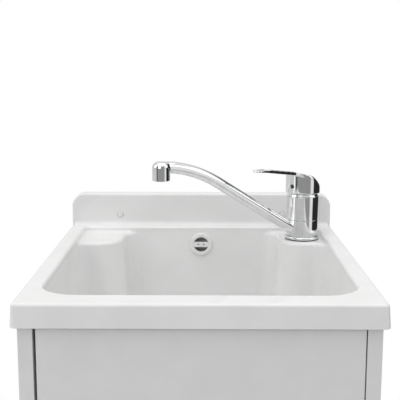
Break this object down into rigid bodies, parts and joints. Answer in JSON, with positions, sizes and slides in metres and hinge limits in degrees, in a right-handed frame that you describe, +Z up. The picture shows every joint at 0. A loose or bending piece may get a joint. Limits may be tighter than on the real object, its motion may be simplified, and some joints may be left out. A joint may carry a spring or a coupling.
{
  "type": "utility laundry sink",
  "caption": "Free-standing laundry sink: moulded plastic basin with wall upstand on a one-door cabinet, with a single-lever mixer whose spout swivels.",
  "frame": {"origin": "on the floor, at the centre of the whole object's footprint", "axes": "+Z up, +Y towards the wall, +X to the right as seen from the door"},
  "size_m": [0.45, 0.516, 0.9837],
  "materials": {
    "moulded_white": "glossy white moulding",
    "plastic_white": "satin white",
    "plastic_grey": "matt grey",
    "foot_grey": "matt dark grey",
    "rubber_black": "matt black",
    "steel": "brushed",
    "chrome": "polished",
    "brass": "plain turned brass",
    "ceramic_white": "lapped",
    "indicator_dark": "glossy dark",
    "panel_white": "white melamine facing on chipboard, satin"
  },
  "bodies": {
    "stand": {"basin": "moulded_white", "fixing_cap_left": "plastic_white", "fixing_cap_right": "plastic_white", "overflow_rosette": "plastic_white", "overflow_gasket": "rubber_black", "overflow_elbow": "plastic_white", "overflow_pipe": "plastic_white", "waste_flange": "steel", "waste_gasket": "rubber_black", "waste_body": "plastic_white", "waste_screw": "steel", "trap_nut": "plastic_white", "trap_body": "plastic_white", "trap_cup": "plastic_white", "outlet_nut": "plastic_white", "outlet_pipe": "plastic_white", "tap_seal": "rubber_black", "tap_base_ring": "chrome", "tap_body": "chrome", "swivel_seal_lower": "rubber_black", "swivel_seal_upper": "rubber_black", "cartridge_shell": "plastic_grey", "cartridge_fixed_disc": "ceramic_white", "cartridge_nut": "brass", "tap_dome_ring": "chrome", "fixing_plate": "steel", "fixing_stud": "steel", "fixing_nut": "brass", "inlet_hot": "brass", "inlet_cold": "brass", "side_panel_left": "panel_white", "side_panel_right": "panel_white", "bottom_panel": "panel_white", "front_rail": "panel_white", "back_rail_upper": "panel_white", "back_rail_lower": "panel_white", "door_pin_lower": "steel", "door_pin_upper": "steel", "door_catch": "plastic_grey"},
    "spout": {"spout": "chrome", "aerator_housing": "chrome", "aerator_insert": "plastic_grey"},
    "turning_guide": {"cartridge_guide": "plastic_grey"},
    "handle": {"tap_handle": "chrome", "handle_stem": "brass", "handle_screw": "steel", "handle_indicator": "indicator_dark"},
    "moving_disc": {"cartridge_sliding_disc": "ceramic_white"},
    "door": {"door": "panel_white", "door_knob": "plastic_white", "door_bush_lower": "plastic_white", "door_bush_upper": "plastic_white", "catch_plate": "steel"},
    "plug": {"waste_plug": "rubber_black"},
    "foot_front_left": {"foot_front_left": "foot_grey"},
    "foot_front_right": {"foot_front_right": "foot_grey"},
    "foot_rear_left": {"foot_rear_left": "foot_grey"},
    "foot_rear_right": {"foot_rear_right": "foot_grey"}
  },
  "joints": [
    {"name": "spout_swivel", "type": "hinge", "parent": "stand", "child": "spout", "pos_m": [0.167, 0.1708, 0.86], "axis": [0, 0, 1], "range_deg": [-40, 90]},
    {"name": "handle_turn", "type": "hinge", "parent": "stand", "child": "turning_guide", "pos_m": [0.167, 0.1708, 0.9], "axis": [0, 0, 1], "range_deg": [-50, 50]},
    {"name": "handle_lift", "type": "hinge", "parent": "turning_guide", "child": "handle", "pos_m": [0.167, 0.1708, 0.903], "axis": [-0.7133, 0.7009, 0], "range_deg": [0, 25]},
    {"name": "disc_slide", "type": "slide", "parent": "turning_guide", "child": "moving_disc", "axis": [-0.7009, -0.7133, 0], "range_m": [0, 0.0052]},
    {"name": "door_hinge", "type": "hinge", "parent": "stand", "child": "door", "pos_m": [0.1904, -0.2275, 0.43], "axis": [0, 0, 1], "range_deg": [0, 105]},
    {"name": "plug_lift", "type": "slide", "parent": "stand", "child": "plug", "axis": [0, 0, 1], "range_m": [0, 0.06]},
    {"name": "foot_front_left_screw", "type": "slide", "parent": "stand", "child": "foot_front_left", "axis": [0, 0, -1], "range_m": [0, 0.012]},
    {"name": "foot_front_right_screw", "type": "slide", "parent": "stand", "child": "foot_front_right", "axis": [0, 0, -1], "range_m": [0, 0.012]},
    {"name": "foot_rear_left_screw", "type": "slide", "parent": "stand", "child": "foot_rear_left", "axis": [0, 0, -1], "range_m": [0, 0.012]},
    {"name": "foot_rear_right_screw", "type": "slide", "parent": "stand", "child": "foot_rear_right", "axis": [0, 0, -1], "range_m": [0, 0.012]}
  ],
  "couplings": [
    {"joint": "disc_slide", "follows": "handle_lift", "m_per_rad": 0.0116}
  ]
}
